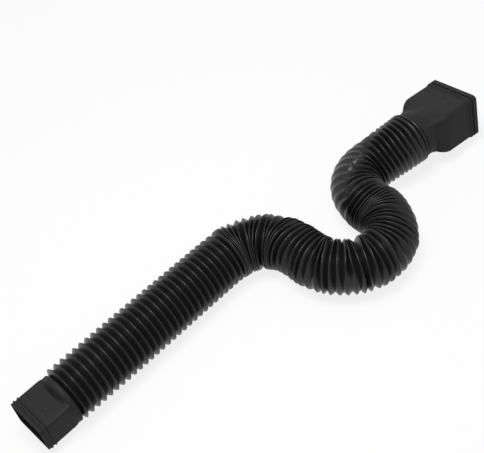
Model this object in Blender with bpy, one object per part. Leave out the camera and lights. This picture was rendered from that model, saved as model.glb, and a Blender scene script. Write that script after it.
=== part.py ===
"""Flexible downspout extension, blow-moulded in one piece of black polypropylene.

A round bellows joins two rectangular sockets: a small one for a 2 x 3 inch downspout and a large
one for a 3 x 4 inch downspout. The bellows holds the bends it was given, so the whole pipe lies
on the floor in an S. Metres, +Z up, the long straight run along +X, and the origin on the floor
under the middle of the pipe's outline.
"""

import math

import bmesh
import bpy
from mathutils import Matrix, Vector

# Bellows
CREST_RADIUS = 0.0528
ROOT_RADIUS = 0.0446
FOLDS = 96
WALL = 0.0013
FOLD_SIDES = 12  # points round each fold
BEND_STRETCH = 0.6  # share of a bend's outer stretch that its folds are spaced by

# Bends of the route along the floor, from the small socket on
EASE = 0.25  # share of a bend over which its curvature rises, and over which it falls
LONG_RUN = 0.4869  # from the small socket to the middle of the first bend
BENDS = (  # run from the middle of the bend before, radius of its inner side, degrees to the left
    (LONG_RUN, 0.0420, -100.2),
    (0.1600, 0.0478, 96.1),
    (0.1450, 0.0218, 104.3),
    (0.1361, 0.0090, -117.5),
    (0.1356, 0.1200, 14.2),
)
LAST_RUN = 0.0297  # from the middle of the last bend to the large socket
NECK_RISE = 0.0158  # of the pipe's middle at the large socket, whose mouth rests on the floor
LIFT_LENGTH = 0.13  # bellows over which it rises
ROUTE_STEP = 0.001

# Both sockets
SOCKET_WALL = 0.0018
CORNER_RADIUS = 0.007
CORNER_POINTS = 4  # points round each corner
BLEND_RINGS = 4  # steps from the flat faces to the round collar
BLEND_POWER = 1.5  # the higher, the longer the faces stay flat
RIB_HEIGHT = 0.0022
GROOVE_DEPTH = 0.0006

# Small socket, with its lengths from the mouth inwards
SMALL_WIDTH = 0.086
SMALL_HEIGHT = 0.062
SMALL_LIP = 0.0040
SMALL_RIB = 0.0038
SMALL_GROOVE = 0.0046
SMALL_PLAIN = 0.0438
SMALL_BLEND = 0.0120
SMALL_COLLAR = 0.0035
SMALL_NECK = 0.0051
SMALL_COLLAR_RADIUS = 0.0495

# Large socket, with its lengths from the mouth inwards
LARGE_WIDTH = 0.112
LARGE_HEIGHT = 0.088
LARGE_LIP = 0.0110
LARGE_GROOVE = 0.0045
LARGE_GROOVE_SIDE = 0.0010
LARGE_RIB = 0.0035
LARGE_STEP = 0.0020
LARGE_PLAIN = 0.0580
LARGE_BLEND = 0.0280
LARGE_COLLAR = 0.0150
LARGE_NECK = 0.0050
LARGE_COLLAR_RADIUS = 0.0495
LARGE_ROLL = -11.0  # degrees that the large socket is turned about the pipe

# Bridges over the large socket's groove, one in the middle of each face
BRIDGE_WIDTH = 0.0045
BRIDGE_DROP = 0.0004  # from the top of the ribs to the top of a bridge

# Dimples that mark where the screws go, two in each broad face
DIMPLE_RADIUS = 0.0028
DIMPLE_DEPTH = 0.0008
DIMPLE_SEGMENTS = 10
DIMPLE_GAP = 0.042
SMALL_DIMPLES = 0.033  # from the mouth
SMALL_DIMPLE_SHIFT = 0.010  # of a pair's middle from the middle of its face
LARGE_DIMPLES = 0.038
LARGE_DIMPLE_SHIFT = 0.0125

BLACK = (0.018, 0.018, 0.019, 1.0)
ROUGHNESS = 0.42
SHARP_ANGLE = 30


SMALL_STRAIGHT = SMALL_LIP + 2 * SMALL_RIB + SMALL_GROOVE + SMALL_PLAIN
SMALL_LENGTH = SMALL_STRAIGHT + SMALL_BLEND + SMALL_COLLAR + SMALL_NECK
LARGE_RIM = LARGE_LIP + LARGE_GROOVE + LARGE_RIB
LARGE_STRAIGHT = LARGE_RIM + LARGE_STEP + LARGE_PLAIN
LARGE_LENGTH = LARGE_STRAIGHT + LARGE_BLEND + LARGE_COLLAR + LARGE_NECK
ROUTE_LENGTH = SMALL_LENGTH + sum(run for run, radius, turn in BENDS) + LAST_RUN + LARGE_LENGTH


def clear_scene():
    for obj in list(bpy.data.objects):
        bpy.data.objects.remove(obj)


def eased(share):
    """Part of a bend's turn that is done at this share of its length."""
    share = min(max(share, 0.0), 1.0)
    if share < EASE:
        return share * share / (2 * EASE * (1 - EASE))
    if share > 1 - EASE:
        return 1 - (1 - share) ** 2 / (2 * EASE * (1 - EASE))
    return (share - EASE / 2) / (1 - EASE)


def heading(distance):
    """Direction of the route at this distance along it."""
    turned = 0.0
    middle = SMALL_LENGTH
    for run, inner_radius, turn in BENDS:
        middle += run
        angle = math.radians(turn)
        length = (CREST_RADIUS + inner_radius) * abs(angle) / (1 - EASE)
        turned += angle * eased((distance - middle) / length + 0.5)
    return turned


def curvature(distance):
    half = ROUTE_STEP / 2
    return (heading(distance + half) - heading(distance - half)) / ROUTE_STEP


def end_slope():
    """Slope of the large socket, whose mouth rests on its lowest corner."""
    mouth = rolled(stepped_out(LARGE_WIDTH, LARGE_HEIGHT, RIB_HEIGHT), LARGE_ROLL)
    lowest = min(up for across, up in mouth)
    return (-lowest - CREST_RADIUS - NECK_RISE) / LARGE_LENGTH


def lift(distance):
    """Height of the centre line over its height on the floor."""
    share = 1 + (distance - (ROUTE_LENGTH - LARGE_LENGTH)) / LIFT_LENGTH
    slope = end_slope() * LIFT_LENGTH
    if share <= 0:
        return 0.0
    if share < 1:
        return share * share * (NECK_RISE * (3 - 2 * share) + slope * (share - 1))
    return NECK_RISE + slope * (share - 1)


def route_points():
    """The centre line on the floor plan, a point each ROUTE_STEP."""
    points = [Vector((0.0, 0.0))]
    steps = round(ROUTE_LENGTH / ROUTE_STEP)
    for step in range(steps):
        angle = heading((step + 0.5) * ROUTE_STEP)
        points.append(points[-1] + ROUTE_STEP * Vector((math.cos(angle), math.sin(angle))))
    return points


def frame_at(points, distance):
    """A matrix at this distance along the route: X along it, Y to the left and Z up."""
    position = min(distance / ROUTE_STEP, len(points) - 1.001)
    index = int(position)
    plan = points[index].lerp(points[index + 1], position - index)
    centre = Vector((plan.x, plan.y, CREST_RADIUS + lift(distance)))
    slope = math.atan((lift(distance + ROUTE_STEP) - lift(distance - ROUTE_STEP)) / (2 * ROUTE_STEP))
    turn = Matrix.Rotation(heading(distance), 4, "Z") @ Matrix.Rotation(-slope, 4, "Y")
    return Matrix.Translation(centre) @ turn


def circle(radius, sides):
    angles = [math.tau * side / sides for side in range(sides)]
    return [(radius * math.cos(angle), radius * math.sin(angle)) for angle in angles]


def rounded_rectangle(width, height, corner):
    """A rectangle with round corners, its points in the order of a circle's."""
    sides = ((width / 2, 0.0), (0.0, height / 2), (-width / 2, 0.0), (0.0, -height / 2))
    across = width / 2 - corner
    up = height / 2 - corner
    centres = ((across, up), (-across, up), (-across, -up), (across, -up))
    outline = []
    for quarter, (middle, centre) in enumerate(zip(sides, centres)):
        outline.append(middle)
        for point in range(CORNER_POINTS):
            angle = math.pi / 2 * (quarter + point / (CORNER_POINTS - 1))
            outline.append((centre[0] + corner * math.cos(angle), centre[1] + corner * math.sin(angle)))
    return outline


def rolled(outline, degrees):
    angle = math.radians(degrees)
    cos, sin = math.cos(angle), math.sin(angle)
    return [(x * cos - y * sin, x * sin + y * cos) for x, y in outline]


def stepped_out(width, height, step):
    """The outline of a wall of this size where it stands out by a step."""
    return rounded_rectangle(width + 2 * step, height + 2 * step, CORNER_RADIUS + step)


def blended(flat, radius, straight, blend, collar):
    """Outlines from the flat faces of a socket to both ends of its round collar."""
    rings = []
    for ring in range(BLEND_RINGS + 1):
        share = ring / BLEND_RINGS
        turned = share**BLEND_POWER
        outline = [
            (x + (round_x - x) * turned, y + (round_y - y) * turned)
            for (x, y), (round_x, round_y) in zip(flat, circle(radius, len(flat)))
        ]
        rings.append((straight + blend * share, outline))
    rings.append((straight + blend + collar, circle(radius, len(flat))))
    return rings


def socket_outlines(width, height, rim, straight, blend, collar, collar_radius):
    """Outer and inner outlines of a socket as (distance from the mouth, outline), mouth first."""
    outer = [(distance, stepped_out(width, height, step)) for distance, step in rim]
    outer += blended(stepped_out(width, height, 0.0), collar_radius, straight, blend, collar)
    bore = stepped_out(width, height, -SOCKET_WALL)
    inner = [(0.0, bore)]
    inner += blended(bore, collar_radius - SOCKET_WALL, straight, blend, collar)
    return outer, inner


def small_rim():
    """Distances from the small mouth, each with how far the wall stands out there."""
    second_rib = SMALL_LIP + SMALL_RIB + SMALL_GROOVE
    return (
        (0.0, 0.0),
        (SMALL_LIP, 0.0),
        (SMALL_LIP + SMALL_RIB / 2, RIB_HEIGHT),
        (SMALL_LIP + SMALL_RIB, 0.0),
        (SMALL_LIP + SMALL_RIB + SMALL_GROOVE / 2, -GROOVE_DEPTH),
        (second_rib, 0.0),
        (second_rib + SMALL_RIB / 2, RIB_HEIGHT),
        (second_rib + SMALL_RIB, 0.0),
    )


def large_rim():
    """Distances from the large mouth, each with how far the wall stands out there."""
    groove_end = LARGE_LIP + LARGE_GROOVE
    return (
        (0.0, RIB_HEIGHT),
        (LARGE_LIP, RIB_HEIGHT),
        (LARGE_LIP + LARGE_GROOVE_SIDE, -GROOVE_DEPTH),
        (groove_end - LARGE_GROOVE_SIDE, -GROOVE_DEPTH),
        (groove_end, RIB_HEIGHT),
        (LARGE_RIM, RIB_HEIGHT),
        (LARGE_RIM + LARGE_STEP, 0.0),
    )


def fold_edges():
    """Distances along the route of the roots between the folds, first and last included."""
    start = SMALL_LENGTH
    end = ROUTE_LENGTH - LARGE_LENGTH
    steps = round((end - start) / ROUTE_STEP)
    step = (end - start) / steps
    along = [0.0]
    for index in range(steps):
        bend = abs(curvature(start + (index + 0.5) * step))
        along.append(along[-1] + step * (1 + BEND_STRETCH * CREST_RADIUS * bend))
    edges = []
    index = 0
    for fold in range(FOLDS + 1):
        wanted = along[-1] * fold / FOLDS
        while index < steps - 1 and along[index + 1] < wanted:
            index += 1
        share = (wanted - along[index]) / (along[index + 1] - along[index])
        edges.append(start + (index + share) * step)
    return edges


def bellows_outlines(thickness):
    """Root and crest circles of every fold, as (distance along the route, outline)."""
    edges = fold_edges()
    root = circle(ROOT_RADIUS - thickness, FOLD_SIDES)
    crest = circle(CREST_RADIUS - thickness, FOLD_SIDES)
    outlines = []
    for first, second in zip(edges, edges[1:]):
        outlines.append((first, root))
        outlines.append(((first + second) / 2, crest))
    outlines.append((edges[-1], root))
    return outlines


def shell_outlines():
    """The whole outer skin and the whole inner skin, from the small mouth to the large one."""
    small = socket_outlines(
        SMALL_WIDTH, SMALL_HEIGHT, small_rim(), SMALL_STRAIGHT, SMALL_BLEND, SMALL_COLLAR, SMALL_COLLAR_RADIUS
    )
    large = socket_outlines(
        LARGE_WIDTH, LARGE_HEIGHT, large_rim(), LARGE_STRAIGHT, LARGE_BLEND, LARGE_COLLAR, LARGE_COLLAR_RADIUS
    )
    skins = []
    for small_skin, large_skin, thickness in zip(small, large, (0.0, WALL)):
        skin = small_skin + bellows_outlines(thickness)
        for distance, outline in reversed(large_skin):
            skin.append((ROUTE_LENGTH - distance, rolled(outline, LARGE_ROLL)))
        skins.append(skin)
    return skins


def add_ring(mesh, points, distance, outline):
    frame = frame_at(points, distance)
    return [mesh.verts.new(frame @ Vector((0.0, x, y))) for x, y in outline]


def join_rings(mesh, first, second):
    """Faces between two rings: quads where they have as many points, and triangles too where not."""
    if len(first) != len(second):
        bmesh.ops.bridge_loops(mesh, edges=list(ring_edges(first) | ring_edges(second)))
        return
    for side in range(len(first)):
        after = (side + 1) % len(first)
        mesh.faces.new((first[side], first[after], second[after], second[side]))


def ring_edges(ring):
    ends = set(ring)
    return {edge for vert in ring for edge in vert.link_edges if ends.issuperset(edge.verts)}


def add_skin(mesh, points, outlines):
    rings = [add_ring(mesh, points, distance, outline) for distance, outline in outlines]
    pairs = list(zip(rings, rings[1:]))
    pairs.sort(key=lambda pair: len(pair[0]) != len(pair[1]))
    for first, second in pairs:
        join_rings(mesh, first, second)
    return rings[0], rings[-1]


def face_frame(points, distance, degrees, height):
    """On a face of a socket: X along the route and Z out of the face."""
    spin = Matrix.Rotation(math.radians(degrees), 4, "X")
    return frame_at(points, distance) @ spin @ Matrix.Translation((0.0, 0.0, height))


def add_bridges(mesh, points):
    """A block over the large socket's groove in the middle of each face."""
    length = LARGE_GROOVE + 2 * LARGE_GROOVE_SIDE
    height = SOCKET_WALL / 2 + RIB_HEIGHT - BRIDGE_DROP
    middle = ROUTE_LENGTH - LARGE_LIP - LARGE_GROOVE / 2
    for quarter in range(4):
        reach = (LARGE_WIDTH if quarter % 2 else LARGE_HEIGHT) / 2 - SOCKET_WALL / 2 + height / 2
        face = face_frame(points, middle, LARGE_ROLL + 90 * quarter, reach)
        block = Matrix.Diagonal((length, BRIDGE_WIDTH, height, 1.0))
        bmesh.ops.create_cube(mesh, size=1.0, matrix=face @ block)


def add_dimples(mesh, points):
    """A cone over each place for a screw, its point in the wall."""
    small = (SMALL_DIMPLES, 0.0, SMALL_HEIGHT, SMALL_DIMPLE_SHIFT)
    large = (ROUTE_LENGTH - LARGE_DIMPLES, LARGE_ROLL, LARGE_HEIGHT, LARGE_DIMPLE_SHIFT)
    for distance, roll, height, shift in (small, large):
        for turned, way in ((0, 1), (180, -1)):
            face = face_frame(points, distance, roll + turned, height / 2)
            for side in (-1, 1):
                place = Matrix.Translation((0.0, way * shift + side * DIMPLE_GAP / 2, 0.0))
                bmesh.ops.create_cone(
                    mesh,
                    cap_ends=True,
                    segments=DIMPLE_SEGMENTS,
                    radius1=0.0,
                    radius2=2 * DIMPLE_RADIUS,
                    depth=2 * DIMPLE_DEPTH,
                    matrix=face @ place,
                )


def floor_origin(mesh):
    """What brings the middle of the mesh's outline over the origin and its lowest point to the floor."""
    low = Vector([min(vert.co[axis] for vert in mesh.verts) for axis in range(3)])
    high = Vector([max(vert.co[axis] for vert in mesh.verts) for axis in range(3)])
    middle = (low + high) / 2
    return Vector((-middle.x, -middle.y, -low.z))


def plastic():
    material = bpy.data.materials.new("black_polypropylene")
    material.use_nodes = True
    shader = material.node_tree.nodes["Principled BSDF"]
    shader.inputs["Base Color"].default_value = BLACK
    shader.inputs["Roughness"].default_value = ROUGHNESS
    shader.inputs["Metallic"].default_value = 0.0
    return material


def add_shell(mesh, points):
    outer, inner = shell_outlines()
    outer_start, outer_end = add_skin(mesh, points, outer)
    inner_start, inner_end = add_skin(mesh, points, inner)
    join_rings(mesh, outer_start, inner_start)
    join_rings(mesh, outer_end, inner_end)


def make_object(name, mesh):
    bmesh.ops.recalc_face_normals(mesh, faces=mesh.faces)
    data = bpy.data.meshes.new(name)
    mesh.to_mesh(data)
    mesh.free()
    made = bpy.data.objects.new(name, data)
    bpy.context.scene.collection.objects.link(made)
    return made


def make_tool(extension, name, fill, points, operation, shift):
    """Joins shapes to the pipe, or cuts them out of it."""
    mesh = bmesh.new()
    fill(mesh, points)
    bmesh.ops.translate(mesh, verts=mesh.verts, vec=shift)
    tool = make_object(name, mesh)
    tool.hide_render = True
    tool.display_type = "WIRE"
    modifier = extension.modifiers.new(name, "BOOLEAN")
    modifier.operation = operation
    modifier.object = tool


def make_extension():
    points = route_points()
    mesh = bmesh.new()
    add_shell(mesh, points)
    shift = floor_origin(mesh)
    bmesh.ops.translate(mesh, verts=mesh.verts, vec=shift)
    extension = make_object("downspout_extension", mesh)
    extension.data.shade_smooth()
    extension.data.set_sharp_from_angle(angle=math.radians(SHARP_ANGLE))
    extension.data.materials.append(plastic())
    make_tool(extension, "bridges", add_bridges, points, "UNION", shift)
    make_tool(extension, "dimples", add_dimples, points, "DIFFERENCE", shift)


clear_scene()
make_extension()
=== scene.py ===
"""The dressed flexible downspout extension: its bellows, its two sockets and a plain stage."""

import math

import bmesh
import bpy
import numpy as np
from bpy.props import FloatProperty, FloatVectorProperty, IntProperty, PointerProperty
from mathutils import Matrix, Vector, noise


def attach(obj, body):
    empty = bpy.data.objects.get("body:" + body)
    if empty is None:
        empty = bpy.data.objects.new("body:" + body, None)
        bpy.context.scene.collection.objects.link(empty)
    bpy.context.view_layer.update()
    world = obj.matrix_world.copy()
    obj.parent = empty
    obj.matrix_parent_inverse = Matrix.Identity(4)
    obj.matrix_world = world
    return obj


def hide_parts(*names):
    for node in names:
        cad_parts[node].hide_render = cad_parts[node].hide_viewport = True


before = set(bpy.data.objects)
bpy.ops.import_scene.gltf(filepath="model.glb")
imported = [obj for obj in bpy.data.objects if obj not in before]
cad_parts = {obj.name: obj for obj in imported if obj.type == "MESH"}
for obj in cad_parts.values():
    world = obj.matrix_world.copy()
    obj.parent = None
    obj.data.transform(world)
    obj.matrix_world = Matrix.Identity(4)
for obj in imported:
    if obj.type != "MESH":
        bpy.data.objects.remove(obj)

bl_info = {
    "name": "Flexible downspout extension",
    "version": (1, 0, 0),
    "blender": (4, 5, 0),
    "location": "View3D > Sidebar > Downspout",
    "description": "Builds a bent bellows pipe with a small and a large rectangular socket",
    "category": "Add Mesh",
}

NODE = "downspout_extension"

# Route of the centre line, as in the solid
CREST_RADIUS = 0.0528
ROOT_RADIUS = 0.0446
FOLD_WALL = 0.0013
EASE = 0.25
LONG_RUN = 0.4869
BENDS = (  # run from the middle of the bend before, radius of its inner side, degrees to the left
    (LONG_RUN, 0.0420, -100.2),
    (0.1600, 0.0478, 96.1),
    (0.1450, 0.0218, 104.3),
    (0.1361, 0.0090, -117.5),
    (0.1356, 0.1200, 14.2),
)
LAST_RUN = 0.0297
NECK_RISE = 0.0158
LIFT_LENGTH = 0.13
ROUTE_STEP = 0.001
LAST_STEP = 1.001  # places stay this many steps before the last point
ROUTE_START = Vector((-0.52942, 0.11162, 0.0))
SMALL_LENGTH = 0.0806
LARGE_LENGTH = 0.127
ROUTE_LENGTH = SMALL_LENGTH + sum(run for run, radius, turn in BENDS) + LAST_RUN + LARGE_LENGTH
COLLAR_END = 0.132  # from the large mouth to where the bellows meets the collar
BELLOWS_END = ROUTE_LENGTH - COLLAR_END
MARGIN = 0.02  # by which the folds are looked up past both ends of the bellows
MOUTH_HEIGHT = 0.0547  # of the middle of the large mouth, which rests on its lowest corner
END_SLOPE = (MOUTH_HEIGHT - CREST_RADIUS - NECK_RISE) / LARGE_LENGTH

# Where folds stand: number of the fold, millimetres along the route at the top of the pipe, and how
# many millimetres further on its left and its right side lie. Between two rows the folds are even.
FOLDS_STAND = (
    (0, 86, 0, 0),
    (1, 101, 0, 0),
    (3, 130, 0, 0),
    (5, 159.5, 0, 0),
    (10, 230.5, 0, 0),
    (15, 300, 0, 0),
    (20, 368, 0, 0),
    (23, 408.5, 0, 0),
    (26, 448, 0, 0),
    (29, 489, -1, 1),
    (30, 492.3, 0, 5),
    (31, 496, 0, 4),
    (32, 501, 3, 0),
    (33, 507.5, 5, -5),
    (34, 517.5, 10, -15),
    (35, 531, 4, -5),
    (36, 541, 8, -18),
    (37, 548.5, 10, -16),
    (38, 557.5, 12, -19),
    (39, 572, 2, -3),
    (40, 579, 6, -8),
    (41, 589.5, 14, -20),
    (42, 598, 12, -19),
    (43, 606, 12, -27),
    (44, 616, 14, -20),
    (45, 628.5, 5, -8),
    (46, 640.8, 1, -1),
    (47, 652, -1, 4),
    (48, 663, -3, 4),
    (49, 674, 0, 0),
    (50, 687, -2, -3),
    (51, 696.3, -10, 2),
    (52, 701, -14, 7),
    (53, 716, -2, 0),
    (54, 727, -6, 1),
    (55, 741, 4, -3),
    (56, 746, -8, 5),
    (57, 757.5, -10, 4),
    (58, 772, 14, -3),
    (59, 783.5, 5, -2),
    (60, 788, -4, 4),
    (61, 801, 4, 0),
    (62, 817, 10, -8),
    (63, 822, 6, -2),
    (64, 831, 4, 0),
    (65, 841, 8, -2),
    (66, 851, 6, -2),
    (67, 863.5, 12, -12),
    (68, 871, 15, -10),
    (69, 880.5, 15, -9),
    (70, 894.5, 20, -13),
    (71, 902.5, 18, -8),
    (72, 908.5, 16, -3),
    (73, 914, 15, 0),
    (74, 919.5, 14, 0),
    (75, 925.5, 13, -2),
    (76, 933, 10, -9),
    (77, 943, 8, -6),
    (78, 954, 5, -5),
    (79, 968, -3, 3),
    (80, 980, -8, 4),
    (81, 990.5, -5, 6),
    (82, 1002, -7, 8),
    (83, 1018, -10, 14),
    (84, 1035, -12, 16),
    (85, 1055.5, -10, 11),
    (86, 1073.5, -8, 7),
    (87, 1088.5, -6, 3.5),
    (88, 1100.5, -5, 1.5),
    (89, 1112, -5, 1),
    (90, 1122.2, -4, 0.5),
    (91, 1131.8, -3, 0),
    (92, 1141.2, -1, 0),
    (93, 1150.6, 0, 0),
    (94, 1159.6, 0, 0),
    (95, 1165, 0, 0),
)
LEAST_GAP = 0.0024  # from crest to crest where folds are pushed together
MOST_GAP = 0.0205  # and where they are pulled apart
SETTLING_ROUNDS = 400
SETTLED = 1e-6  # gap that is left over when folds count as settled

# Radii of the folds
LEAST_RISE = 0.0016  # of a flank that is pulled almost straight
GROWTH = 0.003  # how much larger the folds are at the small socket
GROWTH_START = 0.1  # distance from the mouth at which they begin to shrink
GROWTH_RUN = 0.36  # over which they do

# Depth of the folds, by half their length
PUSHED_SLOPE = 3.2  # how fast folds that are pushed together get deeper with their length
PUSHED_LOSS = 0.0036  # taken off that depth
PUSHED_DEPTH = 0.0005  # what is left when they are closed
PULLED_HALF = 0.0076  # from which on folds that are pulled apart get shallower
PULLED_RANGE = 0.0018  # over which they do
PULLED_LOSS = 0.35  # share of their depth that is gone at the end of that
LAST_RUN_START = 1.06  # along the route
LAST_RUN_FADE = 0.02  # over which its folds get shallower
LAST_RUN_LOSS = 0.7  # share of their depth that is gone on the right side of the last run

# Section of a fold, which is round where it is pushed together and sharp where it is stretched
ROUND_HALF = 0.3  # half a fold's length as a share of its flank, below which it is round
SHARP_RANGE = 0.33  # how much more makes it sharp
ROUND_POWER = 0.6  # the lower, the fuller a round fold is
RIDGE = 0.1  # width of the round ridge on a sharp crest, as a share of the fold
RIDGE_DROP = 0.019  # how much lower its edges lie, as a share of the fold's depth
FOLD_ANGLE = 25  # from which on an edge along the folds is a crease

# Unevenness of the folds
LOOSENESS = 0.0012  # by which a crest strays along the route
STRAIGHT_LOOSENESS = 0.25  # share of it on a straight run
BEND_LOOSENESS = 0.1  # share that is added for each radian a metre of turn
TIGHTEST_TURN = 16  # radians a metre, past which no more is added
FOLD_WAVE = 0.9  # how fast it changes from fold to fold
ROUND_WAVE = 0.8  # and round the pipe


def eased(share):
    """Part of a bend's turn that is done at this share of its length."""
    share = min(max(share, 0.0), 1.0)
    if share < EASE:
        return share * share / (2 * EASE * (1 - EASE))
    if share > 1 - EASE:
        return 1 - (1 - share) ** 2 / (2 * EASE * (1 - EASE))
    return (share - EASE / 2) / (1 - EASE)


def heading(distance):
    """Direction of the route at this distance along it."""
    turned = 0.0
    middle = SMALL_LENGTH
    for run, inner_radius, turn in BENDS:
        middle += run
        angle = math.radians(turn)
        length = (CREST_RADIUS + inner_radius) * abs(angle) / (1 - EASE)
        turned += angle * eased((distance - middle) / length + 0.5)
    return turned


def lift(distance):
    """Height of the centre line over its height on the floor."""
    share = 1 + (distance - (ROUTE_LENGTH - LARGE_LENGTH)) / LIFT_LENGTH
    slope = END_SLOPE * LIFT_LENGTH
    if share <= 0:
        return 0.0
    if share < 1:
        return share * share * (NECK_RISE * (3 - 2 * share) + slope * (share - 1))
    return NECK_RISE + slope * (share - 1)


class Route:
    """The pipe's centre line, and how tightly it turns."""

    def __init__(self):
        steps = round(ROUTE_LENGTH / ROUTE_STEP)
        self.headings = [heading(step * ROUTE_STEP) for step in range(steps + 2)]
        self.points = [ROUTE_START.xy]
        for step in range(steps + 1):
            angle = heading((step + 0.5) * ROUTE_STEP)
            ahead = Vector((math.cos(angle), math.sin(angle)))
            self.points.append(self.points[-1] + ROUTE_STEP * ahead)

    def place(self, distance):
        """Index and share of the step that this distance falls in."""
        position = min(distance / ROUTE_STEP, len(self.points) - LAST_STEP)
        index = max(int(position), 0)
        return index, position - index

    def turn_rate(self, distance):
        """Radians that the route turns in a metre here."""
        index = self.place(distance)[0]
        return (self.headings[index + 1] - self.headings[index]) / ROUTE_STEP

    def point(self, distance, left, up):
        """A point beside the centre line, to its left and above it."""
        index, share = self.place(distance)
        plan = self.points[index].lerp(self.points[index + 1], share)
        angle = self.headings[index] + share * (self.headings[index + 1] - self.headings[index])
        climb = lift(distance + ROUTE_STEP) - lift(distance - ROUTE_STEP)
        slope = math.atan(climb / (2 * ROUTE_STEP))
        back = -up * math.sin(slope)
        return Vector(
            (
                plan.x + back * math.cos(angle) - left * math.sin(angle),
                plan.y + back * math.sin(angle) + left * math.cos(angle),
                ROUTE_START.z + CREST_RADIUS + lift(distance) + up * math.cos(slope),
            )
        )


ROUTE = Route()


def smooth_step(share):
    """A soft rise from 0 to 1."""
    share = min(max(share, 0.0), 1.0)
    return share * share * (3 - 2 * share)


class BellowsSettings(bpy.types.PropertyGroup):
    folds: IntProperty(name="Folds", description="Folds from socket to socket", default=96, min=8)
    flank: FloatProperty(
        name="Flank", description="From a fold's root to its crest", default=0.0107, unit="LENGTH"
    )
    wall: FloatProperty(name="Wall", description="Thickness of the folds", default=0.0013, unit="LENGTH")
    sides: IntProperty(name="Sides", description="Points round each fold", default=80, min=24)
    colour: FloatVectorProperty(
        name="Colour",
        description="Black of the folds",
        default=(0.007, 0.007, 0.0073, 1.0),
        size=4,
        subtype="COLOR",
    )
    roughness: FloatProperty(name="Roughness", description="Dullness of the folds", default=0.32)
    sheen: FloatProperty(name="Sheen", description="Strength of their mirror image", default=0.3)


class SocketSettings(bpy.types.PropertyGroup):
    wall: FloatProperty(name="Wall", description="Thickness of the sockets", default=0.0018, unit="LENGTH")
    corner: FloatProperty(name="Corner", description="Radius of corners", default=0.007, unit="LENGTH")
    rib: FloatProperty(name="Rib", description="Height of the ribs", default=0.0022, unit="LENGTH")
    groove: FloatProperty(name="Groove", description="Depth of the grooves", default=0.0006, unit="LENGTH")
    roll: FloatProperty(
        name="Roll", description="Turn of the large socket", default=math.radians(-11), unit="ROTATION"
    )
    colour: FloatVectorProperty(
        name="Colour",
        description="Dull black of the sockets",
        default=(0.017, 0.017, 0.0175, 1.0),
        size=4,
        subtype="COLOR",
    )
    roughness: FloatProperty(name="Roughness", description="Dullness of the sockets", default=0.55)
    sheen: FloatProperty(name="Sheen", description="Strength of their mirror image", default=0.12)


class StageSettings(bpy.types.PropertyGroup):
    lens: FloatProperty(name="Lens", description="Focal length in millimetres", default=82.25)
    lamp: FloatProperty(name="Lamp", description="Strength of the soft lamp", default=50.0, unit="POWER")
    ambient: FloatProperty(name="Ambient", description="Light from all round", default=0.35)


def finish_piece(bm, name, material):
    """Makes an object of this material from the bmesh."""
    bmesh.ops.recalc_face_normals(bm, faces=bm.faces)
    for face in bm.faces:
        face.smooth = True
    mesh = bpy.data.meshes.new(name)
    bm.to_mesh(mesh)
    bm.free()
    mesh.materials.append(material)
    piece = bpy.data.objects.new(name, mesh)
    bpy.context.scene.collection.objects.link(piece)
    return piece


def mount_piece(piece):
    """Lets the piece stand for the solid: hangs it on the root body and hides the solid."""
    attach(piece, "root")
    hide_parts(NODE)


GRAIN_DETAIL = 3.0
GRAIN_HEIGHT = 0.0004


def plastic(name, colour, roughness, sheen, grain, depth):
    """Moulded black plastic with a fine uneven grain."""
    material = bpy.data.materials.new(name)
    material.use_nodes = True
    nodes, links = material.node_tree.nodes, material.node_tree.links
    shader = nodes["Principled BSDF"]
    shader.inputs["Base Color"].default_value = colour
    shader.inputs["Roughness"].default_value = roughness
    shader.inputs["Specular IOR Level"].default_value = sheen
    place = nodes.new("ShaderNodeTexCoord")
    speckle = nodes.new("ShaderNodeTexNoise")
    speckle.inputs["Scale"].default_value = grain
    speckle.inputs["Detail"].default_value = GRAIN_DETAIL
    bump = nodes.new("ShaderNodeBump")
    bump.inputs["Strength"].default_value = depth
    bump.inputs["Distance"].default_value = GRAIN_HEIGHT
    links.new(place.outputs["Object"], speckle.inputs["Vector"])
    links.new(speckle.outputs["Fac"], bump.inputs["Height"])
    links.new(bump.outputs["Normal"], shader.inputs["Normal"])
    return material


# Points of a fold from one root to the next, as shares of its length
OUTER_POINTS = (0.0, 0.2, 0.34, 0.45, 0.475, 0.5, 0.525, 0.55, 0.66, 0.8)
INNER_POINTS = (0.0, 0.5)

# Radii of the line that is spun, before the folds get theirs
OUTER_LINE = 1.0
INNER_LINE = 0.9

FOLD_GRAIN = 900.0  # grains to a metre
FOLD_GRAIN_DEPTH = 0.05


def fold_profile(bm, folds):
    """A closed line that winds over every fold and back inside, with a fold as one unit along X."""
    inside = bm.verts.layers.float.new("inside")
    line = []
    for fold in range(folds):
        for share in OUTER_POINTS:
            line.append(bm.verts.new((fold + share, OUTER_LINE, 0.0)))
    line.append(bm.verts.new((folds, OUTER_LINE, 0.0)))
    back = [bm.verts.new((folds, INNER_LINE, 0.0))]
    for fold in reversed(range(folds)):
        for share in reversed(INNER_POINTS):
            back.append(bm.verts.new((fold + share, INNER_LINE, 0.0)))
    for vert in back:
        vert[inside] = 1.0
    loop = line + back
    for first, second in zip(loop, loop[1:] + loop[:1]):
        bm.edges.new((first, second))
    return inside


def settled(gaps):
    """Gaps between folds after those too wide or too narrow have passed the rest to their neighbours."""
    gaps = gaps.copy()
    for _ in range(SETTLING_ROUNDS):
        excess = np.clip(gaps - MOST_GAP, 0.0, None) + np.clip(gaps - LEAST_GAP, None, 0.0)
        if np.abs(excess).max() < SETTLED:
            break
        gaps -= excess
        gaps[1:] += excess[:-1] / 2
        gaps[:-1] += excess[1:] / 2
        gaps[0] += excess[0] / 2
        gaps[-1] += excess[-1] / 2
    return gaps


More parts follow.
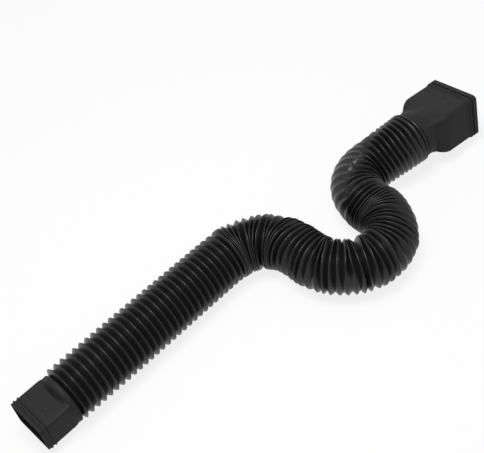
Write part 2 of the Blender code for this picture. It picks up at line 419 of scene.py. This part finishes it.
class FoldMap:
    """Places and radii of every crest and root, round the bent pipe."""

    def __init__(self, settings):
        self.settings = settings
        self.middle = (CREST_RADIUS + ROOT_RADIUS) / 2
        self.start, self.end = SMALL_LENGTH, BELLOWS_END
        self.marks = np.arange(self.start - MARGIN, self.end + MARGIN, ROUTE_STEP)
        self.turning = np.array([ROUTE.turn_rate(mark) for mark in self.marks])
        self.sides = {}

    def crests(self, degrees):
        """Distances of the crests along the route at this side of the pipe."""
        rows = np.array(FOLDS_STAND)
        folds = np.arange(self.settings.folds)
        numbers = rows[:, 0]
        across = math.cos(math.radians(degrees))
        slip = np.interp(folds, numbers, rows[:, 2] if across > 0 else rows[:, 3]) * abs(across)
        places = (np.interp(folds, numbers, rows[:, 1]) + slip) / 1000
        bend = np.interp(places, self.marks, np.abs(self.turning))
        up = math.sin(math.radians(degrees))
        for fold in range(len(folds)):
            drift = noise.noise(Vector((fold * FOLD_WAVE, ROUND_WAVE * across, ROUND_WAVE * up)))
            share = STRAIGHT_LOOSENESS + BEND_LOOSENESS * min(bend[fold], TIGHTEST_TURN)
            places[fold] += drift * LOOSENESS * share
        return places

    def settled_folds(self, crests, first, last):
        """Roots and crests between these two ends, no folds too narrow or too wide."""
        stops = np.concatenate([[2 * first - crests[0]], crests, [2 * last - crests[-1]]])
        gaps = settled(np.diff(stops))
        stops = stops[0] + np.concatenate([[0.0], np.cumsum(gaps)])
        stops += (last - (stops[-1] + stops[-2]) / 2) * np.linspace(0, 1, len(stops))
        roots = (stops[1:] + stops[:-1]) / 2
        roots[0], roots[-1] = first, last
        return roots, stops[1:-1]

    def shaped_side(self, degrees):
        """What side gives, worked out along the wall's own length at this side."""
        across = math.cos(math.radians(degrees))
        stretch = 1 - self.turning * self.middle * across
        real = np.concatenate([[0.0], np.cumsum((stretch[1:] + stretch[:-1]) / 2 * ROUTE_STEP)])
        asked = self.crests(degrees)
        first, last = np.interp([self.start, self.end], self.marks, real)
        roots, crests = self.settled_folds(np.interp(asked, self.marks, real), first, last)
        half = np.diff(roots) / 2
        flank = self.settings.flank
        rise = np.sqrt(np.clip(flank**2 - half**2, LEAST_RISE**2, None))
        depth = np.minimum(rise, np.maximum(PUSHED_SLOPE * half - PUSHED_LOSS, PUSHED_DEPTH))
        depth *= 1 - PULLED_LOSS * np.clip((half - PULLED_HALF) / PULLED_RANGE, 0.0, 1.0)
        if across < 0:
            last_run = np.clip((asked - LAST_RUN_START) / LAST_RUN_FADE, 0.0, 1.0)
            depth *= 1 - LAST_RUN_LOSS * across**2 * last_run
        crest_radii = self.middle + 0.5 * rise
        grown = [1 - smooth_step((crest - GROWTH_START) / GROWTH_RUN) for crest in crests]
        crest_radii += GROWTH * np.array(grown)
        root_radii = np.empty(len(roots))
        root_radii[1:-1] = (crest_radii[1:] + crest_radii[:-1] - depth[1:] - depth[:-1]) / 2
        root_radii[0] = root_radii[-1] = ROOT_RADIUS
        places = np.empty(2 * len(crests) + 1)
        radii = np.empty(len(places))
        places[0::2], places[1::2] = roots, crests
        radii[0::2], radii[1::2] = root_radii, crest_radii
        places = np.interp(places, real, self.marks)
        sharpness = np.clip((half / flank - ROUND_HALF) / SHARP_RANGE, 0.0, 1.0)
        return places.tolist(), radii.tolist(), sharpness.tolist()

    def side(self, degrees):
        """Distances and radii of roots and crests in turn, and how sharp each fold is."""
        key = round(degrees, 3)
        if key not in self.sides:
            self.sides[key] = self.shaped_side(degrees)
        return self.sides[key]

    def point(self, fold, degrees, inside):
        """Place of a point of the wall, none of it below the floor."""
        places, radii, sharpness = self.side(degrees)
        index = min(int(fold * 2), len(places) - 2)
        share = fold * 2 - index
        distance = places[index] + share * (places[index + 1] - places[index])
        number = min(int(fold), self.settings.folds - 1)
        rise = share if index % 2 == 0 else 1 - share
        root, crest = (index, index + 1) if index % 2 == 0 else (index + 1, index)
        fall = 1 - rise
        rounded_off = (1 - fall * fall) ** ROUND_POWER
        if fall < RIDGE:
            sharp = 1 - RIDGE_DROP * (fall / RIDGE) ** 2
        else:
            sharp = (1 - RIDGE_DROP) * (1 - fall) / (1 - RIDGE)
        rise = rounded_off + sharpness[number] * (sharp - rounded_off)
        radius = radii[root] + rise * (radii[crest] - radii[root])
        if inside:
            radius -= self.settings.wall
        angle = math.radians(degrees)
        place = ROUTE.point(distance, radius * math.cos(angle), radius * math.sin(angle))
        place.z = max(place.z, 0.0)
        return place


class OBJECT_OT_downspout_bellows(bpy.types.Operator):
    """Builds the bellows between the two sockets"""

    bl_idname = "object.downspout_bellows"
    bl_label = "Bellows"

    def execute(self, context):
        settings = context.scene.downspout_bellows
        bm = bmesh.new()
        inside = fold_profile(bm, settings.folds)
        bmesh.ops.spin(
            bm,
            geom=bm.verts[:] + bm.edges[:],
            cent=(0.0, 0.0, 0.0),
            axis=(1.0, 0.0, 0.0),
            angle=math.tau,
            steps=settings.sides,
            use_merge=True,
        )
        fold_map = FoldMap(settings)
        for vert in bm.verts:
            degrees = math.degrees(math.atan2(vert.co.z, vert.co.y))
            vert.co = fold_map.point(vert.co.x, degrees, vert[inside] > 0.5)
        finish = (settings.colour, settings.roughness, settings.sheen)
        material = plastic("folded_plastic", *finish, FOLD_GRAIN, FOLD_GRAIN_DEPTH)
        piece = finish_piece(bm, "bellows", material)
        piece.data.set_sharp_from_angle(angle=math.radians(FOLD_ANGLE))
        mount_piece(piece)
        return {"FINISHED"}


# Both sockets
SIDE_STEPS = 4  # points from a bridge to the corner
CORNER_STEPS = 12
BRIDGE_HALF = 0.00225  # half as wide as a bridge over the groove
BRIDGE_EDGE = 0.0002
BLEND_STEPS = 12
CORNER_LAG = 2.6  # how much later corners turn round than faces
BLEND_POWER = 1.5  # the higher, the longer the faces stay flat
RIB_LENGTH = 0.0038  # of the small socket's round ribs
RIB_STEPS = 8
RIB_POWER = 0.8  # the lower, the fuller they are
BEVEL = 0.0005  # along the edges of the large rim
GROOVE_BEVEL = 0.0004  # and along those of its groove
BRIDGE_DROP = 0.0004  # from the top of the ribs to the top of a bridge
DIMPLE_BALL = 0.0034  # radius of the ball that presses a dimple
BALL_SEGMENTS = 24
BALL_RINGS = 16
DIMPLE_DEPTH = 0.0017
DIMPLE_GAP = 0.042  # between the middles of a face's two dimples
SHARP_ANGLE = 28  # from which on an edge of a socket is a crease
SOCKET_GRAIN = 1400.0  # grains to a metre
SOCKET_GRAIN_DEPTH = 0.25

# Small socket, with its distances from the mouth of the solid
SMALL_WIDTH = 0.0905
SMALL_HEIGHT = 0.0632
SMALL_STRAIGHT = 0.0590  # where its faces stop being flat
SMALL_BLEND = 0.0105
SMALL_HANG = Vector((-0.0014, -0.0014))  # shift of its outline to the left and up
SMALL_DIMPLES = 0.0288
SMALL_DIMPLE_SHIFT = 0.0092  # of a pair's middle from the middle of its face
SMALL_COLLAR = (  # distance from where the blend ends, radius, and how round it is
    (0.0, 0.0500, 1.0),
    (0.0005, 0.0507, 1.0),
    (0.0010, 0.0511, 1.0),
    (0.0018, 0.0512, 1.0),
    (0.0070, 0.0512, 1.0),
    (0.0078, 0.0506, 1.0),
    (0.0111, ROOT_RADIUS, 1.0),
)

# Large socket, with its distances from the mouth
LARGE_WIDTH = 0.112
LARGE_HEIGHT = 0.088
LARGE_STRAIGHT = 0.0790
LARGE_BLEND = 0.0260
LARGE_DIMPLES = 0.038
LARGE_DIMPLE_SHIFT = 0.0125
LARGE_COLLAR = (
    (0.0, 0.0452, 0.82),
    (0.0010, 0.0456, 0.84),
    (0.0022, 0.0468, 0.88),
    (0.0036, 0.0482, 0.93),
    (0.0050, 0.0491, 0.97),
    (0.0065, 0.0495, 1.0),
    (0.0242, 0.0495, 1.0),
    (0.0250, 0.0492, 1.0),
    (0.0256, 0.0485, 1.0),
    (0.0270, ROOT_RADIUS, 1.0),
)


def rounded_rectangle(width, height, corner, bridge=0.0):
    """A rectangle with round corners, and in the middle of each side a bridge that stands out."""
    outline = []
    for quarter in range(4):
        across, up = (width / 2, height / 2) if quarter % 2 == 0 else (height / 2, width / 2)
        first = BRIDGE_HALF + BRIDGE_EDGE
        marks = [0.0, BRIDGE_HALF - BRIDGE_EDGE]
        marks += [first + (up - corner - first) * step / SIDE_STEPS for step in range(SIDE_STEPS)]
        points = [(across + (bridge if mark < BRIDGE_HALF else 0.0), mark) for mark in marks]
        for step in range(CORNER_STEPS + 1):
            angle = math.pi / 2 * step / CORNER_STEPS
            out, over = corner * math.cos(angle), corner * math.sin(angle)
            points.append((across - corner + out, up - corner + over))
        marks = [0.0, BRIDGE_HALF - BRIDGE_EDGE]
        marks += [first + (across - corner - first) * step / SIDE_STEPS for step in range(SIDE_STEPS)]
        points += [(mark, up + (bridge if mark < BRIDGE_HALF else 0.0)) for mark in reversed(marks[1:])]
        turn = Matrix.Rotation(math.pi / 2 * quarter, 2)
        outline += [turn @ Vector(point) for point in points]
    return outline


def rounded(outline, radius, share):
    """An outline on its way to a circle, which its corners reach last."""
    nearest = outline[0].length
    points = []
    for point in outline:
        left_over = (1 - share) ** ((nearest / point.length) ** CORNER_LAG)
        points.append(point.normalized() * (radius + (point.length - radius) * left_over))
    return points


def loft(bm, rings):
    """Joins outlines in turn, each a (distance, points) pair, into one closed skin."""
    loops = []
    for distance, outline in rings:
        made = bmesh.ops.create_circle(bm, cap_ends=False, radius=1.0, segments=len(outline))["verts"]
        for vert, (left, up) in zip(made, outline):
            vert.co = ROUTE.point(distance, left, up)
        edges = [edge for vert in made for edge in vert.link_edges]
        loops.append(list(dict.fromkeys(edges)))
    for first, second in zip(loops, loops[1:] + loops[:1]):
        bmesh.ops.bridge_loops(bm, edges=first + second)


def rib(start, height):
    """Steps over a round rib: distance from the mouth, and how far the wall stands out."""
    steps = []
    for step in range(RIB_STEPS + 1):
        share = step / RIB_STEPS
        steps.append((start + RIB_LENGTH * share, height * math.sin(math.pi * share) ** RIB_POWER))
    return steps


def small_rim(settings):
    """Steps of the small rim: distance from the mouth, and how far the wall stands out."""
    mouth = [(-0.0015, -0.0004), (-0.0011, 0.0), (0.0036, 0.0)]
    groove = [(0.0090, -settings.groove), (0.0110, -settings.groove)]
    first_rib, second_rib = rib(0.0040, settings.rib), rib(0.0124, settings.rib)
    return mouth + first_rib + groove + second_rib + [(0.0168, 0.0)]


def large_rim(settings):
    """Steps of the large rim: distance, how far the wall stands out, and how high bridges do."""
    high, low = settings.rib, -settings.groove
    bridge = high - low - BRIDGE_DROP
    lip = [(0.0, high - BEVEL), (0.0005, high), (0.0098, high), (0.0103, high - GROOVE_BEVEL)]
    groove = [(0.0106, low, bridge), (0.0142, low, bridge)]
    wide_rib = [(0.0145, high - GROOVE_BEVEL), (0.0150, high), (0.0180, high), (0.0186, high - BEVEL)]
    thin_rib = [(0.0198, 0.0004), (0.0205, 0.0003), (0.0211, 0.0008), (0.0218, 0.0008), (0.0226, 0.0)]
    return lip + groove + wide_rib + thin_rib


def socket_rings(width, height, rim, straight, blend, collar, settings):
    """Outer outlines from the mouth to the bellows, then the inner ones back."""
    corner, wall = settings.corner, settings.wall
    outer = []
    for distance, step, *bridge in rim:
        outline = rounded_rectangle(width + 2 * step, height + 2 * step, corner + step, *bridge)
        outer.append((distance, outline))
    flat = rounded_rectangle(width, height, corner)
    hollow = rounded_rectangle(width - 2 * wall, height - 2 * wall, corner - wall)
    inner = [(rim[0][0], hollow)]
    valley, roundness = collar[0][1:]
    for ring in range(BLEND_STEPS + 1):
        distance = straight + blend * ring / BLEND_STEPS
        share = roundness * (ring / BLEND_STEPS) ** BLEND_POWER
        outer.append((distance, rounded(flat, valley, share)))
        inner.append((distance, rounded(hollow, valley - wall, share)))
    end = straight + blend
    outer += [(end + distance, rounded(flat, radius, share)) for distance, radius, share in collar[1:]]
    inner.append((end + collar[-1][0], rounded(hollow, ROOT_RADIUS - FOLD_WALL, 1.0)))
    return outer + inner[::-1]


def socket_plastic(settings):
    """The sockets' plastic, which is made once."""
    made = bpy.data.materials.get("moulded_plastic")
    finish = (settings.colour, settings.roughness, settings.sheen)
    return made or plastic("moulded_plastic", *finish, SOCKET_GRAIN, SOCKET_GRAIN_DEPTH)


def press_dimples(piece, distance, height, shift, turn, hang):
    """Presses the marks for the screws, two into each broad face."""
    bm = bmesh.new()
    for way in (1, -1):
        up = way * (height / 2 + DIMPLE_BALL - DIMPLE_DEPTH)
        for side in (-1, 1):
            middle = turn @ Vector((way * shift + side * DIMPLE_GAP / 2, up)) + hang
            bmesh.ops.create_uvsphere(
                bm,
                u_segments=BALL_SEGMENTS,
                v_segments=BALL_RINGS,
                radius=DIMPLE_BALL,
                matrix=Matrix.Translation(ROUTE.point(distance, middle.x, middle.y)),
            )
    mesh = bpy.data.meshes.new("dimples")
    bm.to_mesh(mesh)
    bm.free()
    press = bpy.data.objects.new("dimples", mesh)
    bpy.context.scene.collection.objects.link(press)
    cut = piece.modifiers.new("Dimples", "BOOLEAN")
    cut.operation = "DIFFERENCE"
    cut.object = press
    pressed = piece.evaluated_get(bpy.context.evaluated_depsgraph_get())
    plain = piece.data
    piece.data = bpy.data.meshes.new_from_object(pressed)
    piece.modifiers.clear()
    bpy.data.meshes.remove(plain)
    bpy.data.objects.remove(press)
    piece.data.set_sharp_from_angle(angle=math.radians(SHARP_ANGLE))


class OBJECT_OT_downspout_small_socket(bpy.types.Operator):
    """Builds the small rectangular socket"""

    bl_idname = "object.downspout_small_socket"
    bl_label = "Small socket"

    def execute(self, context):
        settings = context.scene.downspout_sockets
        width, height = SMALL_WIDTH, SMALL_HEIGHT
        rim = small_rim(settings)
        rings = socket_rings(width, height, rim, SMALL_STRAIGHT, SMALL_BLEND, SMALL_COLLAR, settings)
        rings = [(distance, [point + SMALL_HANG for point in outline]) for distance, outline in rings]
        bm = bmesh.new()
        loft(bm, rings)
        piece = finish_piece(bm, "small_socket", socket_plastic(settings))
        press_dimples(piece, SMALL_DIMPLES, height, SMALL_DIMPLE_SHIFT, Matrix.Identity(2), SMALL_HANG)
        mount_piece(piece)
        return {"FINISHED"}


class OBJECT_OT_downspout_large_socket(bpy.types.Operator):
    """Builds the large rectangular socket"""

    bl_idname = "object.downspout_large_socket"
    bl_label = "Large socket"

    def execute(self, context):
        settings = context.scene.downspout_sockets
        width, height = LARGE_WIDTH, LARGE_HEIGHT
        rim = large_rim(settings)
        rings = socket_rings(width, height, rim, LARGE_STRAIGHT, LARGE_BLEND, LARGE_COLLAR, settings)
        turn = Matrix.Rotation(settings.roll, 2)
        rings = [(distance, [turn @ point for point in outline]) for distance, outline in rings]
        rings = [(ROUTE_LENGTH - distance, outline) for distance, outline in rings]
        bm = bmesh.new()
        loft(bm, rings)
        piece = finish_piece(bm, "large_socket", socket_plastic(settings))
        dimples = ROUTE_LENGTH - LARGE_DIMPLES
        press_dimples(piece, dimples, height, LARGE_DIMPLE_SHIFT, turn, Vector((0.0, 0.0)))
        mount_piece(piece)
        return {"FINISHED"}


# Stage
CAMERA_PLACE = Vector((-0.7348, -1.0049, 1.7095))
CAMERA_AIM = Vector((0.0464, 0.1776, 0.0))
CAMERA_ROLL = math.radians(13.53)
SENSOR_WIDTH = 36.0
LAMP_PLACE = Vector((-0.2, 0.0, 2.4))
LAMP_SIZE = 1.0
FLOOR_SIZE = 8.0
FLOOR_GREY = 0.82
FLOOR_ROUGHNESS = 0.9
WHITE_SHARE = 0.83  # of the floor's look that is plain white, and the rest shows the shadow


def seen_directly(nodes, links):
    """1 for light that goes to the camera straight, by a mirror or through glass."""
    path = nodes.new("ShaderNodeLightPath")
    either = nodes.new("ShaderNodeMath")
    either.operation = "MAXIMUM"
    links.new(path.outputs["Is Camera Ray"], either.inputs[0])
    links.new(path.outputs["Is Glossy Ray"], either.inputs[1])
    any_of = nodes.new("ShaderNodeMath")
    any_of.operation = "MAXIMUM"
    links.new(either.outputs["Value"], any_of.inputs[0])
    links.new(path.outputs["Is Transmission Ray"], any_of.inputs[1])
    return any_of.outputs["Value"]


def floor_material():
    """White where it is looked at, apart from a faint shadow, and pale for the light it returns."""
    material = bpy.data.materials.new("pale_floor")
    material.use_nodes = True
    nodes, links = material.node_tree.nodes, material.node_tree.links
    shader = nodes["Principled BSDF"]
    shader.inputs["Base Color"].default_value = (FLOOR_GREY, FLOOR_GREY, FLOOR_GREY, 1.0)
    shader.inputs["Roughness"].default_value = FLOOR_ROUGHNESS
    shader.inputs["Specular IOR Level"].default_value = 0.0
    white = nodes.new("ShaderNodeEmission")
    share = nodes.new("ShaderNodeMath")
    share.operation = "MULTIPLY"
    share.inputs[1].default_value = WHITE_SHARE
    mix = nodes.new("ShaderNodeMixShader")
    links.new(seen_directly(nodes, links), share.inputs[0])
    links.new(share.outputs["Value"], mix.inputs["Fac"])
    links.new(shader.outputs["BSDF"], mix.inputs[1])
    links.new(white.outputs["Emission"], mix.inputs[2])
    links.new(mix.outputs["Shader"], nodes["Material Output"].inputs["Surface"])
    return material


def light_world(ambient):
    """White where it is looked at, and a dimmer light from all round."""
    world = bpy.data.worlds.new("soft_room")
    bpy.context.scene.world = world
    world.use_nodes = True
    nodes, links = world.node_tree.nodes, world.node_tree.links
    backdrop = nodes["Background"]
    backdrop.inputs["Color"].default_value = (1.0, 1.0, 1.0, 1.0)
    level = nodes.new("ShaderNodeMapRange")
    level.inputs["To Min"].default_value = ambient
    level.inputs["To Max"].default_value = 1.0
    links.new(seen_directly(nodes, links), level.inputs["Value"])
    links.new(level.outputs["Result"], backdrop.inputs["Strength"])


def add_lamp(power):
    """A soft lamp over the object, turned to its middle."""
    lamp = bpy.data.lights.new("soft_lamp", "AREA")
    lamp.shape = "SQUARE"
    lamp.size = LAMP_SIZE
    lamp.energy = power
    lamp_object = bpy.data.objects.new("soft_lamp", lamp)
    lamp_object.location = LAMP_PLACE
    lamp_object.rotation_euler = (-LAMP_PLACE).to_track_quat("-Z", "Y").to_euler()
    bpy.context.scene.collection.objects.link(lamp_object)


class OBJECT_OT_downspout_stage(bpy.types.Operator):
    """Sets up the floor, the light and the camera"""

    bl_idname = "object.downspout_stage"
    bl_label = "Stage"

    def execute(self, context):
        settings = context.scene.downspout_stage
        scene = context.scene
        scene.view_settings.view_transform = "Standard"
        bm = bmesh.new()
        bmesh.ops.create_grid(bm, x_segments=1, y_segments=1, size=FLOOR_SIZE / 2)
        mesh = bpy.data.meshes.new("floor")
        bm.to_mesh(mesh)
        bm.free()
        mesh.materials.append(floor_material())
        floor = bpy.data.objects.new("floor", mesh)
        scene.collection.objects.link(floor)
        light_world(settings.ambient)
        add_lamp(settings.lamp)
        camera = bpy.data.cameras.new("view")
        camera.lens = settings.lens
        camera.sensor_width = SENSOR_WIDTH
        view = bpy.data.objects.new("view", camera)
        look = (CAMERA_AIM - CAMERA_PLACE).to_track_quat("-Z", "Y").to_matrix().to_4x4()
        view.matrix_world = Matrix.Translation(CAMERA_PLACE) @ look @ Matrix.Rotation(-CAMERA_ROLL, 4, "Z")
        scene.collection.objects.link(view)
        scene.camera = view
        return {"FINISHED"}


class VIEW3D_PT_downspout(bpy.types.Panel):
    """Lists the steps that build the extension"""

    bl_idname = "VIEW3D_PT_downspout"
    bl_label = "Downspout extension"
    bl_space_type = "VIEW_3D"
    bl_region_type = "UI"
    bl_category = "Downspout"

    def draw(self, context):
        scene = context.scene
        for settings in (scene.downspout_bellows, scene.downspout_sockets, scene.downspout_stage):
            box = self.layout.box()
            for name in settings.__annotations__:
                box.prop(settings, name)
        for step in OPERATORS:
            self.layout.operator(step.bl_idname)


OPERATORS = (
    OBJECT_OT_downspout_stage,
    OBJECT_OT_downspout_bellows,
    OBJECT_OT_downspout_small_socket,
    OBJECT_OT_downspout_large_socket,
)
SETTINGS = {
    "downspout_bellows": BellowsSettings,
    "downspout_sockets": SocketSettings,
    "downspout_stage": StageSettings,
}


def register():
    for name, settings in SETTINGS.items():
        bpy.utils.register_class(settings)
        setattr(bpy.types.Scene, name, PointerProperty(type=settings))
    for cls in (*OPERATORS, VIEW3D_PT_downspout):
        bpy.utils.register_class(cls)


def unregister():
    for cls in (VIEW3D_PT_downspout, *reversed(OPERATORS)):
        bpy.utils.unregister_class(cls)
    for name, settings in SETTINGS.items():
        delattr(bpy.types.Scene, name)
        bpy.utils.unregister_class(settings)


def main():
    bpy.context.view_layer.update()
    register()
    bpy.ops.object.downspout_stage()
    bpy.ops.object.downspout_bellows()
    bpy.ops.object.downspout_small_socket()
    bpy.ops.object.downspout_large_socket()


if __name__ == "__main__":
    main()
